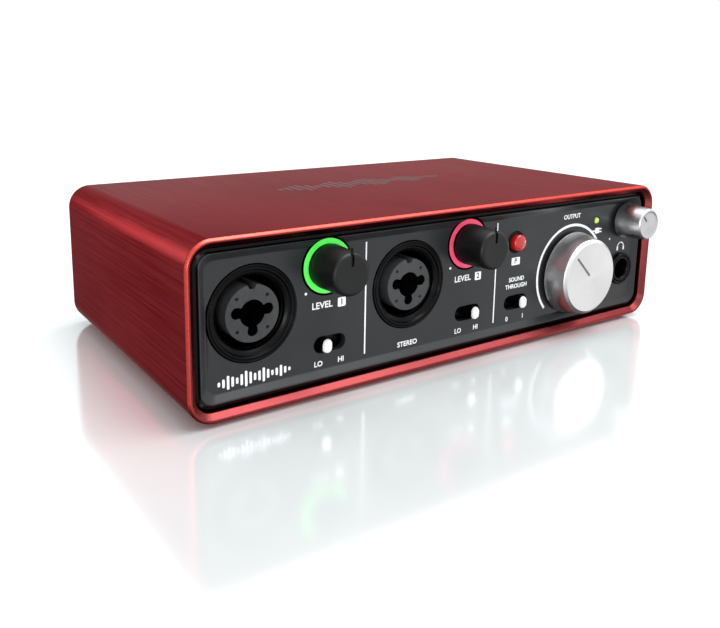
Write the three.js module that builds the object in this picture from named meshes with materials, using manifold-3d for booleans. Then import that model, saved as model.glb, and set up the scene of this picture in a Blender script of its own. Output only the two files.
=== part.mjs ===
// A two-channel desktop audio interface.
//
// A brushed metal sleeve holds an upright front board and a flat main board. A plastic fascia shaped like
// a shallow tray, with a steel sub-plate behind it, closes the front, and a steel plate closes the rear.
//
// Units are millimetres. X runs to the right seen from the front, Y to the rear, Z up. The origin is on
// the surface that the feet stand on, below the middle of the whole object. Inside the "case" group, x is
// measured from the sleeve's middle, y from its front edge and z from its underside.

import * as THREE from 'three';
import { mergeVertices } from 'three/addons/utils/BufferGeometryUtils.js';
import Module from 'manifold-3d';

const wasm = await Module();
wasm.setup();

// ---- Driving dimensions ----

const GAP = 0.3; // left between pieces that touch

const SLEEVE_WIDTH = 175;
const SLEEVE_HEIGHT = 46;
const SLEEVE_DEPTH = 97;
const SLEEVE_WALL = 2.5;
const SLEEVE_RADIUS = 7;
const SLEEVE_CHAMFER = 0.8; // round the outside of both ends
const MOUTH_CHAMFER = 1.5; // round the inside of the front end
const FOOT_HEIGHT = 1; // from the ground to the sleeve's underside
const FRONT_REACH = 8; // how far the gain knobs stand out of the sleeve
const REAR_REACH = 2.5; // how far the line output jacks stand out behind

const INNER_WIDTH = SLEEVE_WIDTH - 2 * SLEEVE_WALL;
const INNER_HEIGHT = SLEEVE_HEIGHT - 2 * SLEEVE_WALL;
const INNER_RADIUS = SLEEVE_RADIUS - SLEEVE_WALL;
const MID_HEIGHT = SLEEVE_HEIGHT / 2;
const PLATE_WIDTH = INNER_WIDTH - 2 * GAP; // outline of the fascia, the sub-plate and the rear plate
const PLATE_HEIGHT = INNER_HEIGHT - 2 * GAP;
const PLATE_RADIUS = INNER_RADIUS - GAP;

const LIP_Y = 1.9; // the fascia's flat lip, just inside the sleeve's front edge
const PANEL_Y = 3.4; // the fascia's flat face, at the bottom of the tray
const FASCIA_BACK_Y = 5.4;
const LIP = 0.5; // width of the lip
const BORDER = 2; // width of the slope between the lip and the face
const SUBPLATE_Y = 7.6;
const SUBPLATE_THICKNESS = 1.4;
const SUBPLATE_BACK_Y = SUBPLATE_Y + SUBPLATE_THICKNESS;
const BOARD_THICKNESS = 1.6;
const FRONT_BOARD_Y = 24;
const FRONT_PARTS_REAR_Y = FRONT_BOARD_Y - GAP; // what is soldered to the front board ends here
const MAIN_BOARD_Y = 27;
const MAIN_BOARD_Z = 13;
const MAIN_BOARD_TOP = MAIN_BOARD_Z + BOARD_THICKNESS;
const PARTS_FLOOR_Z = MAIN_BOARD_TOP + GAP; // what stands on the main board starts here
const REAR_PLATE_Y = 94.6;
const REAR_PLATE_THICKNESS = 1.4;
const REAR_PLATE_BACK_Y = REAR_PLATE_Y + REAR_PLATE_THICKNESS;

const CHANNEL_PITCH = 49.6; // from one input channel to the next
const SOCKET = { x: -68.5, z: 25, radius: 12.5, step: 10.6, bore: 9.4, insert: 7.5, face: 3.1 };
const GAIN = { x: -46.4, z: 34.2 };
const LEVEL_SWITCH = { x: -45.5, z: 12.8 };
const MONITOR_SWITCH = { x: 24.6, z: 12.8 };
const MONITOR = { x: 49.8, z: 19.1 };
const PHONES_LEVEL = { x: 76, z: 34 };
const PHONES_JACK = { x: 75.7, z: 16.75 };
const PHANTOM = { x: 23.6, z: 32.2 };
const USB_LIGHT = { x: 62, z: 35.1 };
const POINTER_TURN = 45; // degrees that the monitor and headphone pointers stand left of the top

const JACK_BORE = 3.3; // for a 6.35 mm jack plug
const SHAFT_RADIUS = 3;
const SHAFT_FLAT = 1.5; // from the shaft's middle to its flat
const POT_RADIUS = 4.7;
const SWITCH_TRAVEL = 3.5;
const SWITCH_SLOT = { width: 10, height: 4.5 };
const RIB = { reach: 2.7, thickness: 1.6 }; // ribs that hold the main board's edges
const SCREW_INSET = { x: 81.8, z: 5.9 }; // screw channels, from the middle and from the underside
const SCREW_CHANNEL = 3.6;
const SCREW_RADIUS = 1.5;
const SCREW_HOLE = SCREW_RADIUS + GAP;
const PEG = { x: 34, low: 6, high: 40, radius: 1.4 };
const FOOT = { x: 72, front: 14, rear: 83, radius: 6.5 };

const HALO = { outer: 7.4, inner: 5.9, flange: 8.8, face: 3.2, web: 4.6, bore: 4 };
const BUTTON = { radius: 2.6, flange: 3.4, face: 0.9, travel: 2 };
const LIGHT_PIPE = { radius: 1, flange: 1.7, face: 3.2 };
const PHONES = { bushing: 4.4, face: 2.3, nut: 5.6, width: 12, height: 13 };
const KNOB_ROOT_Y = 2.4; // where the knobs start, just clear of the panel
const MONITOR_FACE_Y = -5;
const PHONES_FACE_Y = -6.8;
const SHAFT_REAR_Y = 21.4;
const SWITCH_BODY = { width: 9.5, height: 5.4, front: 17, floor: 22 };
const SWITCH_CAP = { width: 2.8, height: 3.8, face: 0.9, root: 6.8 };
const STEM = { width: 2, height: 2 };
const SCREW_HEAD = 1.5;
const SCREW_SHANK = 9;

const LINE_OUT = { xs: [-62, -36], z: 21.5, bushing: 4.6 };
const USB_SOCKET = { x: 32, width: 12, height: 11, depth: 19 };
const USB_MIDDLE_Z = PARTS_FLOOR_Z + USB_SOCKET.height / 2 + GAP;
const LOCK_SLOT = { x: 62, z: 23, width: 7, height: 3 };

// ---- Geometry helpers ----

const degrees = (angle) => (angle * Math.PI) / 180;

// Corner points of a rounded rectangle in the x-z plane, anticlockwise seen from the front.
function roundedRectangle(width, height, radius, steps = 6) {
  const points = [];
  const corners = [[1, 1], [-1, 1], [-1, -1], [1, -1]];
  corners.forEach(([sideX, sideZ], quarter) => {
    for (let step = 0; step <= steps; step += 1) {
      const angle = degrees(90 * (quarter + step / steps));
      const x = sideX * (width / 2 - radius) + radius * Math.cos(angle);
      const z = sideZ * (height / 2 - radius) + radius * Math.sin(angle);
      points.push(new THREE.Vector2(x, z));
    }
  });
  return points;
}

// A closed solid through sections { y, points } that all have the same number of points.
function loft(sections) {
  const count = sections[0].points.length;
  const positions = sections.flatMap(({ y, points }) => points.flatMap((p) => [p.x, y, p.y]));
  const index = [];
  for (let ring = 0; ring < sections.length - 1; ring += 1) {
    for (let i = 0; i < count; i += 1) {
      const a = ring * count + i;
      const b = ring * count + ((i + 1) % count);
      index.push(a, a + count, b, b, a + count, b + count);
    }
  }
  const last = (sections.length - 1) * count;
  for (const [a, b, c] of THREE.ShapeUtils.triangulateShape(sections[0].points, [])) {
    index.push(a, b, c);
    index.push(last + a, last + c, last + b);
  }
  const geometry = new THREE.BufferGeometry();
  geometry.setAttribute('position', new THREE.Float32BufferAttribute(positions, 3));
  geometry.setIndex(index);
  return geometry;
}

// A rounded bar along y, with its middle at (x, z).
function bar({ width, height, radius, from, to, x = 0, z = 0, steps = 6 }) {
  const points = roundedRectangle(width, height, radius, steps);
  return loft([{ y: from, points }, { y: to, points }]).translate(x, 0, z);
}

// A round bar along y, with its middle at (x, z).
function drum(radius, from, to, { x = 0, z = 0 } = {}, segments = 24) {
  const geometry = new THREE.CylinderGeometry(radius, radius, to - from, segments);
  return geometry.translate(x, (from + to) / 2, z);
}

// A solid of revolution about the y axis, from [radius, y] points.
function revolve(profile, segments = 28) {
  return new THREE.LatheGeometry(profile.map(([radius, y]) => new THREE.Vector2(radius, y)), segments);
}

function block([x0, x1], [y0, y1], [z0, z1]) {
  const geometry = new THREE.BoxGeometry(x1 - x0, y1 - y0, z1 - z0);
  return geometry.translate((x0 + x1) / 2, (y0 + y1) / 2, (z0 + z1) / 2);
}

const around = (middle, size) => [middle - size / 2, middle + size / 2];

function toSolid(geometry) {
  const bare = geometry.clone();
  bare.deleteAttribute('normal');
  bare.deleteAttribute('uv');
  const merged = mergeVertices(bare);
  const corners = [];
  for (let i = 0; i < merged.index.count; i += 3) {
    const [a, b, c] = [0, 1, 2].map((step) => merged.index.getX(i + step));
    if (a !== b && b !== c && c !== a) corners.push(a, b, c);
  }
  const vertProperties = merged.attributes.position.array;
  const triVerts = new Uint32Array(corners);
  return new wasm.Manifold(new wasm.Mesh({ numProp: 3, vertProperties, triVerts }));
}

// Joins the "add" shapes to a base shape and then cuts the "cut" shapes away.
function shape(base, { add = [], cut = [] }) {
  const joined = add.reduce((solid, piece) => solid.add(toSolid(piece)), toSolid(base));
  const finished = cut.reduce((solid, piece) => solid.subtract(toSolid(piece)), joined);
  const { vertProperties, triVerts } = finished.getMesh();
  const geometry = new THREE.BufferGeometry();
  geometry.setAttribute('position', new THREE.BufferAttribute(vertProperties, 3));
  geometry.setIndex(new THREE.BufferAttribute(triVerts, 1));
  geometry.computeVertexNormals();
  return geometry;
}

// ---- Finishes and assembly ----

const FINISHES = {
  red_anodised: { color: 0xa3262c, roughness: 0.4, metalness: 0.8 },
  grey_plastic: { color: 0x2f3236, roughness: 0.5, metalness: 0 },
  black_plastic: { color: 0x0c0d0e, roughness: 0.45, metalness: 0 },
  knob_plastic: { color: 0x1c1f20, roughness: 0.55, metalness: 0 },
  insert_plastic: { color: 0x3d3f42, roughness: 0.5, metalness: 0 },
  silver: { color: 0xd4d5d8, roughness: 0.28, metalness: 0.9 },
  white_plastic: { color: 0xf2f2f0, roughness: 0.4, metalness: 0 },
  green_guide: { color: 0x3bf24a, roughness: 0.35, metalness: 0 },
  red_guide: { color: 0xf23a5c, roughness: 0.35, metalness: 0 },
  red_button: { color: 0xd01818, roughness: 0.2, metalness: 0 },
  clear_plastic: { color: 0xcfe87a, roughness: 0.2, metalness: 0 },
  steel: { color: 0x9a9da1, roughness: 0.35, metalness: 0.9 },
  black_steel: { color: 0x17181a, roughness: 0.5, metalness: 0.4 },
  board: { color: 0x1d5a35, roughness: 0.6, metalness: 0 },
  chip: { color: 0x1a1a1c, roughness: 0.6, metalness: 0 },
  can: { color: 0xb7babd, roughness: 0.35, metalness: 0.9 },
  rubber: { color: 0x141414, roughness: 0.9, metalness: 0 },
};

const model = new THREE.Group();
const wholeDepth = FRONT_REACH + SLEEVE_DEPTH + REAR_REACH;
const unit = new THREE.Group();
unit.name = 'case';
unit.position.set(0, FRONT_REACH - wholeDepth / 2, FOOT_HEIGHT);
model.add(unit);

function addPiece(name, finish, geometry, { x = 0, y = 0, z = 0, turn = 0 } = {}) {
  const mesh = new THREE.Mesh(geometry, new THREE.MeshStandardMaterial(FINISHES[finish]));
  mesh.name = name;
  mesh.position.set(x, y, z);
  mesh.rotation.y = degrees(turn);
  unit.add(mesh);
}

const channelX = (firstX, channel) => firstX + channel * CHANNEL_PITCH;
const CHANNELS = [0, 1];
const CORNERS = [[-1, -1], [1, -1], [-1, 1], [1, 1]];
const screwPoints = CORNERS.map(([sideX, sideZ]) => ({
  x: sideX * SCREW_INSET.x,
  z: MID_HEIGHT + sideZ * (MID_HEIGHT - SCREW_INSET.z),
}));
const pegPoints = [-PEG.x, PEG.x].flatMap((x) => [PEG.low, PEG.high].map((z) => ({ x, z })));

// ---- Case ----

// The sleeve: an extruded tube with a screw channel in each corner and a groove down each side for the
// main board. Its outer edges are chamfered at both ends, and the inner edge at the front end.
function sleeveShape() {
  const ring = (y, inset) => ({
    y,
    points: roundedRectangle(SLEEVE_WIDTH - 2 * inset, SLEEVE_HEIGHT - 2 * inset, SLEEVE_RADIUS - inset),
  });
  const outside = loft([
    ring(0, SLEEVE_CHAMFER),
    ring(SLEEVE_CHAMFER, 0),
    ring(SLEEVE_DEPTH - SLEEVE_CHAMFER, 0),
    ring(SLEEVE_DEPTH, SLEEVE_CHAMFER),
  ]).translate(0, 0, MID_HEIGHT);
  const inside = bar({
    width: INNER_WIDTH, height: INNER_HEIGHT, radius: INNER_RADIUS,
    from: -1, to: SLEEVE_DEPTH + 1, z: MID_HEIGHT,
  });
  const mouthTip = 0.5; // how far the chamfer's cutter reaches out of the sleeve
  const mouth = loft([
    ring(-mouthTip, SLEEVE_WALL - MOUTH_CHAMFER - mouthTip),
    ring(MOUTH_CHAMFER, SLEEVE_WALL),
  ]).translate(0, 0, MID_HEIGHT);
  const tube = shape(outside, { cut: [inside, mouth] });
  const from = SUBPLATE_BACK_Y + GAP;
  const to = REAR_PLATE_Y - GAP;
  const channels = screwPoints.map((point) => drum(SCREW_CHANNEL, from, to, point, 16));
  const holes = screwPoints.map((point) => drum(SCREW_HOLE, from - 1, to + 1, point, 12));
  const ribRoot = INNER_WIDTH / 2 + GAP;
  const ribTip = INNER_WIDTH / 2 - RIB.reach;
  const ribLevels = [
    [MAIN_BOARD_Z - GAP - RIB.thickness, MAIN_BOARD_Z - GAP],
    [PARTS_FLOOR_Z, PARTS_FLOOR_Z + RIB.thickness],
  ];
  const ribs = [[-ribRoot, -ribTip], [ribTip, ribRoot]].flatMap((span) => (
    ribLevels.map((levels) => block(span, [from, to], levels))
  ));
  return shape(tube, { add: [...channels, ...ribs], cut: holes });
}
addPiece('sleeve', 'red_anodised', sleeveShape());

// The fascia: a plate whose front is a shallow tray with a sloped border, with pegs behind that locate it
// in the sub-plate.
function fasciaShape() {
  const plate = bar({
    width: PLATE_WIDTH, height: PLATE_HEIGHT, radius: PLATE_RADIUS,
    from: LIP_Y, to: FASCIA_BACK_Y, z: MID_HEIGHT,
  });
  const slope = BORDER / (PANEL_Y - LIP_Y);
  const trayRing = (y) => {
    const inset = LIP + (y - LIP_Y) * slope;
    const points = roundedRectangle(
      PLATE_WIDTH - 2 * inset, PLATE_HEIGHT - 2 * inset, PLATE_RADIUS - inset / 2,
    );
    return { y, points };
  };
  const tray = loft([trayRing(LIP_Y - GAP), trayRing(PANEL_Y)]).translate(0, 0, MID_HEIGHT);
  const pegs = pegPoints.map((point) => drum(PEG.radius, FASCIA_BACK_Y - 0.5, SUBPLATE_BACK_Y, point, 12));
  const hole = (radius, point, segments) => drum(radius, LIP_Y - 1, FASCIA_BACK_Y + 1, point, segments);
  const slot = ({ x, z }) => bar({
    ...SWITCH_SLOT, radius: SWITCH_SLOT.height / 2, from: LIP_Y - 1, to: FASCIA_BACK_Y + 1, x, z,
    steps: 4,
  });
  const channelCuts = CHANNELS.flatMap((channel) => [
    hole(SOCKET.radius + GAP, { x: channelX(SOCKET.x, channel), z: SOCKET.z }, 32),
    hole(HALO.outer + GAP, { x: channelX(GAIN.x, channel), z: GAIN.z }, 28),
    slot({ x: channelX(LEVEL_SWITCH.x, channel), z: LEVEL_SWITCH.z }),
  ]);
  const masterCuts = [
    slot(MONITOR_SWITCH),
    hole(SHAFT_RADIUS + GAP, MONITOR, 20),
    hole(SHAFT_RADIUS + GAP, PHONES_LEVEL, 20),
    hole(PHONES.bushing + GAP, PHONES_JACK, 24),
    hole(BUTTON.radius + GAP, PHANTOM, 20),
    hole(LIGHT_PIPE.radius + GAP, USB_LIGHT, 12),
  ];
  return shape(plate, { add: pegs, cut: [tray, ...channelCuts, ...masterCuts] });
}

// The sub-plate behind the fascia, cut for everything that passes through it.
function subplateShape() {
  const plate = bar({
    width: PLATE_WIDTH, height: PLATE_HEIGHT, radius: PLATE_RADIUS,
    from: SUBPLATE_Y, to: SUBPLATE_BACK_Y, z: MID_HEIGHT,
  });
  const hole = (radius, point, segments = 12) => (
    drum(radius, SUBPLATE_Y - 1, SUBPLATE_BACK_Y + 1, point, segments)
  );
  const slot = ({ x, z }) => bar({
    width: STEM.width + SWITCH_TRAVEL + 4 * GAP, height: STEM.height + 4 * GAP, radius: 0.6,
    from: SUBPLATE_Y - 1, to: SUBPLATE_BACK_Y + 1, x, z, steps: 2,
  });
  const channelCuts = CHANNELS.flatMap((channel) => [
    hole(SOCKET.radius + GAP, { x: channelX(SOCKET.x, channel), z: SOCKET.z }, 24),
    hole(SHAFT_RADIUS + 2 * GAP, { x: channelX(GAIN.x, channel), z: GAIN.z }),
    slot({ x: channelX(LEVEL_SWITCH.x, channel), z: LEVEL_SWITCH.z }),
  ]);
  const masterCuts = [
    slot(MONITOR_SWITCH),
    hole(SHAFT_RADIUS + 2 * GAP, MONITOR),
    hole(SHAFT_RADIUS + 2 * GAP, PHONES_LEVEL),
    hole(PHONES.bushing + GAP, PHONES_JACK, 16),
    hole(BUTTON.flange + 2 * GAP, PHANTOM),
    hole(LIGHT_PIPE.radius + 2 * GAP, USB_LIGHT, 12),
    ...screwPoints.map((point) => hole(SCREW_HOLE, point, 8)),
    ...pegPoints.map((point) => hole(PEG.radius + 2 * GAP, point, 8)),
  ];
  return shape(plate, { cut: [...channelCuts, ...masterCuts] });
}

addPiece('front_fascia', 'grey_plastic', fasciaShape());
addPiece('front_subplate', 'steel', subplateShape());

// The rear plate, set just inside the sleeve, with the jack, USB and security lock openings.
function rearPlateShape() {
  const plate = bar({
    width: PLATE_WIDTH, height: PLATE_HEIGHT, radius: PLATE_RADIUS,
    from: REAR_PLATE_Y, to: REAR_PLATE_BACK_Y, z: MID_HEIGHT,
  });
  const from = REAR_PLATE_Y - 1;
  const to = REAR_PLATE_BACK_Y + 1;
  const usb = bar({
    width: USB_SOCKET.width + 2 * GAP, height: USB_SOCKET.height + 2 * GAP, radius: 1.1,
    from, to, x: USB_SOCKET.x, z: USB_MIDDLE_Z, steps: 2,
  });
  const lock = bar({ ...LOCK_SLOT, radius: 1.4, from, to, steps: 4 });
  const jacks = LINE_OUT.xs.map((x) => drum(LINE_OUT.bushing + GAP, from, to, { x, z: LINE_OUT.z }));
  const screws = screwPoints.map((point) => drum(SCREW_HOLE, from, to, point, 12));
  return shape(plate, { cut: [usb, lock, ...jacks, ...screws] });
}

addPiece('rear_plate', 'black_steel', rearPlateShape());

// A pan-head screw along y whose head starts at y = 0 and whose shank points to the rear.
function screwShape() {
  const head = revolve([
    [0, 0], [2, 0], [2.7, 0.7], [2.7, SCREW_HEAD],
    [SCREW_RADIUS, SCREW_HEAD], [SCREW_RADIUS, SCREW_HEAD + SCREW_SHANK], [0, SCREW_HEAD + SCREW_SHANK],
  ], 12);
  const cross = [
    block(around(0, 2.4), [-1, 0.8], around(0, 0.6)),
    block(around(0, 0.6), [-1, 0.8], around(0, 2.4)),
  ];
  return shape(head, { cut: cross });
}

screwPoints.forEach(({ x, z }, i) => {
  const y = SUBPLATE_Y - GAP - SCREW_HEAD;
  addPiece(`front_screw_${i + 1}`, 'steel', screwShape(), { x, y, z });
});
screwPoints.forEach(({ x, z }, i) => {
  const y = REAR_PLATE_BACK_Y + GAP + SCREW_HEAD;
  addPiece(`rear_screw_${i + 1}`, 'black_steel', screwShape().rotateZ(Math.PI), { x, y, z });
});

// Round rubber feet under the sleeve's corners.
[FOOT.front, FOOT.rear].flatMap((y) => [-FOOT.x, FOOT.x].map((x) => ({ x, y }))).forEach(({ x, y }, i) => {
  const top = FOOT_HEIGHT - GAP;
  const foot = revolve([
    [0, 0], [FOOT.radius - 0.4, 0], [FOOT.radius, 0.4], [FOOT.radius, top], [0, top],
  ], 20);
  addPiece(`foot_${i + 1}`, 'rubber', foot.rotateX(Math.PI / 2), { x, y, z: -FOOT_HEIGHT });
});

// ---- Input channels ----

// The socket's shell: a cup open at the front, with a stepped mouth.
function socketShellShape() {
  const floor = FRONT_PARTS_REAR_Y - 2.2;
  return revolve([
    [0, floor], [SOCKET.bore, floor], [SOCKET.bore, SOCKET.face + 1.2], [SOCKET.step, SOCKET.face],
    [SOCKET.radius, SOCKET.face], [SOCKET.radius, FRONT_PARTS_REAR_Y - GAP], [0, FRONT_PARTS_REAR_Y - GAP],
  ], 32);
}

// The socket's insert: a round core with a jack hole, three contact holes and a key notch at the top.
function socketInsertShape() {
  const floor = FRONT_PARTS_REAR_Y - 2.2 - GAP;
  const core = revolve([
    [0, PANEL_Y], [SOCKET.insert, PANEL_Y], [SOCKET.insert, floor - 3.4],
    [SOCKET.bore - GAP, floor - 3.4], [SOCKET.bore - GAP, floor], [0, floor],
  ], 32);
  const contactAngles = [8, 172, 270];
  const contacts = contactAngles.map((angle) => {
    const x = 4.3 * Math.cos(degrees(angle));
    const z = 4.3 * Math.sin(degrees(angle));
    return drum(1.3, PANEL_Y - 1, floor - 4, { x, z }, 12);
  });
  const jack = drum(JACK_BORE, PANEL_Y - 1, floor - 1.5, {}, 24);
  const key = block(around(0, 2.4), [PANEL_Y - 1, floor - 3.4], [SOCKET.insert - 1.2, SOCKET.insert + 1]);
  return shape(core, { cut: [jack, key, ...contacts] });
}

// A D-section shaft: round with one flat side. Used for the shafts, and larger for the knobs' bores.
function shaftShape(from, to, margin = 0) {
  const flat = SHAFT_FLAT + margin;
  const round = drum(SHAFT_RADIUS + margin, from, to, {}, 20);
  return shape(round, { cut: [block([-9, 9], [from - 1, KNOB_ROOT_Y + 2], [-9, -flat])] });
}

// A black gain knob, slightly tapered, with a rounded edge and a pointer groove at the top.
function gainKnobShape() {
  const face = -FRONT_REACH;
  const knob = revolve([
    [0, face], [4.7, face], [5.5, face + 0.3], [5.8, face + 1.1], [6.1, KNOB_ROOT_Y],
    [5, KNOB_ROOT_Y], [4.9, face + 3.2], [4.3, face + 3.2], [4.3, KNOB_ROOT_Y], [0, KNOB_ROOT_Y],
  ], 28);
  const bore = shaftShape(face + 3.2, KNOB_ROOT_Y + 1, GAP);
  const pointer = block(around(0, 0.9), [face - 1, face + 0.5], [2.2, 7]);
  return shape(knob, { cut: [bore, pointer] });
}

// The light guide round a gain knob: a ring with a flange behind the fascia and a web inside.
function haloShape() {
  return revolve([
    [HALO.inner, HALO.face], [HALO.outer, HALO.face], [HALO.outer, FASCIA_BACK_Y + GAP],
    [HALO.flange, FASCIA_BACK_Y + GAP], [HALO.flange, FASCIA_BACK_Y + 1.3], [HALO.bore, FASCIA_BACK_Y + 1.3],
    [HALO.bore, HALO.web], [HALO.inner, HALO.web], [HALO.inner, HALO.face],
  ], 28);
}

// A potentiometer's round housing with its bushing, open for the shaft.
function potShape() {
  const rear = FRONT_PARTS_REAR_Y;
  const bore = SHAFT_RADIUS + GAP;
  return revolve([
    [0, rear - 2], [bore, rear - 2], [bore, SUBPLATE_BACK_Y + 0.6], [4.2, SUBPLATE_BACK_Y + 0.6],
    [4.2, rear - 7], [POT_RADIUS, rear - 7], [POT_RADIUS, rear], [0, rear],
  ], 16);
}

// A slide switch's cap: an upright pill with a rounded end, on a stem that reaches into the switch body.
function switchCapShape() {
  const { width, height, face, root } = SWITCH_CAP;
  const section = (y, inset) => ({
    y, points: roundedRectangle(width - 2 * inset, height - 2 * inset, width / 2 - inset, 4),
  });
  const pill = loft([
    section(face, 0.9), section(face + 0.3, 0.4), section(face + 1, 0), section(root, 0),
  ]);
  const stem = block(around(0, STEM.width), [root - 0.8, SWITCH_BODY.floor - GAP], around(0, STEM.height));
  return shape(pill, { add: [stem] });
}

// A slide switch's body on the front board, slotted for the stem's travel.
function switchBodyShape() {
  const body = block(around(0, SWITCH_BODY.width), [SWITCH_BODY.front, FRONT_PARTS_REAR_Y],
    around(0, SWITCH_BODY.height));
  const slot = block(
    around(0, STEM.width + SWITCH_TRAVEL + 2 * GAP),
    [SWITCH_BODY.front - 1, SWITCH_BODY.floor],
    around(0, STEM.height + 2 * GAP),
  );
  return shape(body, { cut: [slot] });
}

CHANNELS.forEach((channel) => {
  const number = channel + 1;
  const socketAt = { x: channelX(SOCKET.x, channel), z: SOCKET.z };
  const gainAt = { x: channelX(GAIN.x, channel), z: GAIN.z };
  const switchAt = { x: channelX(LEVEL_SWITCH.x, channel), z: LEVEL_SWITCH.z };
  addPiece(`combo_shell_${number}`, 'black_plastic', socketShellShape(), socketAt);
  addPiece(`combo_insert_${number}`, 'insert_plastic', socketInsertShape(), socketAt);
  addPiece(`halo_ring_${number}`, channel === 0 ? 'green_guide' : 'red_guide', haloShape(), gainAt);
  addPiece(`gain_knob_${number}`, 'knob_plastic', gainKnobShape(), gainAt);
  addPiece(`gain_shaft_${number}`, 'steel', shaftShape(-FRONT_REACH + 3.6, SHAFT_REAR_Y), gainAt);
  addPiece(`gain_pot_${number}`, 'steel', potShape(), gainAt);
  addPiece(`level_switch_body_${number}`, 'steel', switchBodyShape(), switchAt);
  // The first channel's switch rests at its left end, the second's at its right end.
  const side = channel === 0 ? -1 : 1;
  const capAt = { x: switchAt.x + (side * SWITCH_TRAVEL) / 2, z: switchAt.z };
  addPiece(`level_switch_cap_${number}`, 'white_plastic', switchCapShape(), capAt);
});

// ---- Master section ----

// The silver monitor knob: a wide flared drum with a bright chamfer and an engraved pointer line.
function monitorKnobShape() {
  const face = MONITOR_FACE_Y;
  const knob = revolve([
    [0, face], [11.3, face], [12.2, face + 0.7], [13.6, KNOB_ROOT_Y],
    [12, KNOB_ROOT_Y], [11, face + 2.6], [4.6, face + 2.6], [4.6, KNOB_ROOT_Y], [0, KNOB_ROOT_Y],
  ], 36);
  const bore = shaftShape(face + 2.2, KNOB_ROOT_Y + 1, GAP);
  const pointer = block(around(0, 0.9), [face - 1, face + 0.4], [0.8, 10]);
  return shape(knob, { cut: [bore, pointer] });
}

// The silver headphone knob, with a shallow dished face and an engraved pointer line.
function phonesKnobShape() {
  const face = PHONES_FACE_Y;
  const knob = revolve([
    [0, face + 0.4], [4.2, face + 0.3], [4.5, face], [4.8, face], [5.2, face + 0.6], [6.1, KNOB_ROOT_Y],
    [5, KNOB_ROOT_Y], [4.6, face + 3.4], [4.3, face + 3.4], [4.3, KNOB_ROOT_Y], [0, KNOB_ROOT_Y],
  ], 28);
  const bore = shaftShape(face + 3.4, KNOB_ROOT_Y + 1, GAP);
  const pointer = block(around(0, 0.7), [face - 1, face + 0.8], [1.4, 4.1]);
  return shape(knob, { cut: [bore, pointer] });
}

// The phantom power button: a round lens with a flange behind the fascia and a stem to its switch.
function phantomButtonShape() {
  const { face, radius, flange } = BUTTON;
  return revolve([
    [0, face], [1.4, face + 0.1], [2.2, face + 0.4], [radius, face + 1], [radius, FASCIA_BACK_Y + 2 * GAP],
    [flange, FASCIA_BACK_Y + 2 * GAP], [flange, FASCIA_BACK_Y + 1.4], [1.2, FASCIA_BACK_Y + 1.4],
    [1.2, 19], [0, 19],
  ], 24);
}

function phantomSwitchShape() {
  const body = block(around(0, 8), [17, FRONT_PARTS_REAR_Y], around(0, 8));
  const well = drum(1.2 + GAP, 16, 19 + BUTTON.travel + GAP, {}, 16);
  return shape(body, { cut: [well] });
}

// The light pipe that brings the front board's light to the fascia.
function lightPipeShape() {
  const { radius, flange, face } = LIGHT_PIPE;
  return revolve([
    [0, face], [radius, face], [radius, FASCIA_BACK_Y + GAP], [flange, FASCIA_BACK_Y + GAP],
    [flange, FASCIA_BACK_Y + 1.1], [radius, FASCIA_BACK_Y + 1.1], [radius, FRONT_PARTS_REAR_Y],
    [0, FRONT_PARTS_REAR_Y],
  ], 14);
}

// A jack socket: a box with a round bushing, bored for the plug.
function jackShape({ width, height, bushing, bodyFrom, bodyTo, mouth, boreEnd }) {
  const body = block(around(0, width), [bodyFrom, bodyTo], around(0, height));
  const root = mouth < bodyFrom ? bodyFrom + 1 : bodyTo - 1;
  const outward = Math.sign(mouth - root);
  const neck = drum(bushing, Math.min(mouth, root), Math.max(mouth, root), {}, 28);
  const boreFrom = Math.min(mouth + outward, boreEnd);
  const boreTo = Math.max(mouth + outward, boreEnd);
  return shape(body, { add: [neck], cut: [drum(JACK_BORE, boreFrom, boreTo, {}, 24)] });
}

function ringShape(inner, outer, from, to, segments) {
  return revolve([[inner, from], [outer, from], [outer, to], [inner, to], [inner, from]], segments);
}

addPiece('monitor_knob', 'silver', monitorKnobShape(), { ...MONITOR, turn: -POINTER_TURN });
addPiece('monitor_shaft', 'steel', shaftShape(MONITOR_FACE_Y + 2.6, SHAFT_REAR_Y), {
  ...MONITOR, turn: -POINTER_TURN,
});
addPiece('monitor_pot', 'steel', potShape(), MONITOR);
addPiece('phones_knob', 'silver', phonesKnobShape(), { ...PHONES_LEVEL, turn: -POINTER_TURN });
addPiece('phones_shaft', 'steel', shaftShape(PHONES_FACE_Y + 3.8, SHAFT_REAR_Y), {
  ...PHONES_LEVEL, turn: -POINTER_TURN,
});
addPiece('phones_pot', 'steel', potShape(), PHONES_LEVEL);

addPiece('phantom_button', 'red_button', phantomButtonShape(), PHANTOM);
addPiece('phantom_switch_body', 'black_plastic', phantomSwitchShape(), PHANTOM);

addPiece('monitor_switch_body', 'steel', switchBodyShape(), MONITOR_SWITCH);
addPiece('monitor_switch_cap', 'white_plastic', switchCapShape(), {
  x: MONITOR_SWITCH.x + SWITCH_TRAVEL / 2, z: MONITOR_SWITCH.z,
});

addPiece('usb_light_pipe', 'clear_plastic', lightPipeShape(), USB_LIGHT);

addPiece('phones_socket', 'black_plastic', jackShape({
  width: PHONES.width, height: PHONES.height, bushing: PHONES.bushing,
  bodyFrom: SUBPLATE_BACK_Y + 0.6, bodyTo: FRONT_PARTS_REAR_Y, mouth: PHONES.face, boreEnd: 21,
}), PHONES_JACK);
addPiece('phones_nut', 'black_plastic', ringShape(
  PHONES.bushing + GAP, PHONES.nut, PHONES.face - 0.1, PANEL_Y - GAP, 32,
), PHONES_JACK);

// ---- Boards and what stands on them ----

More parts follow.
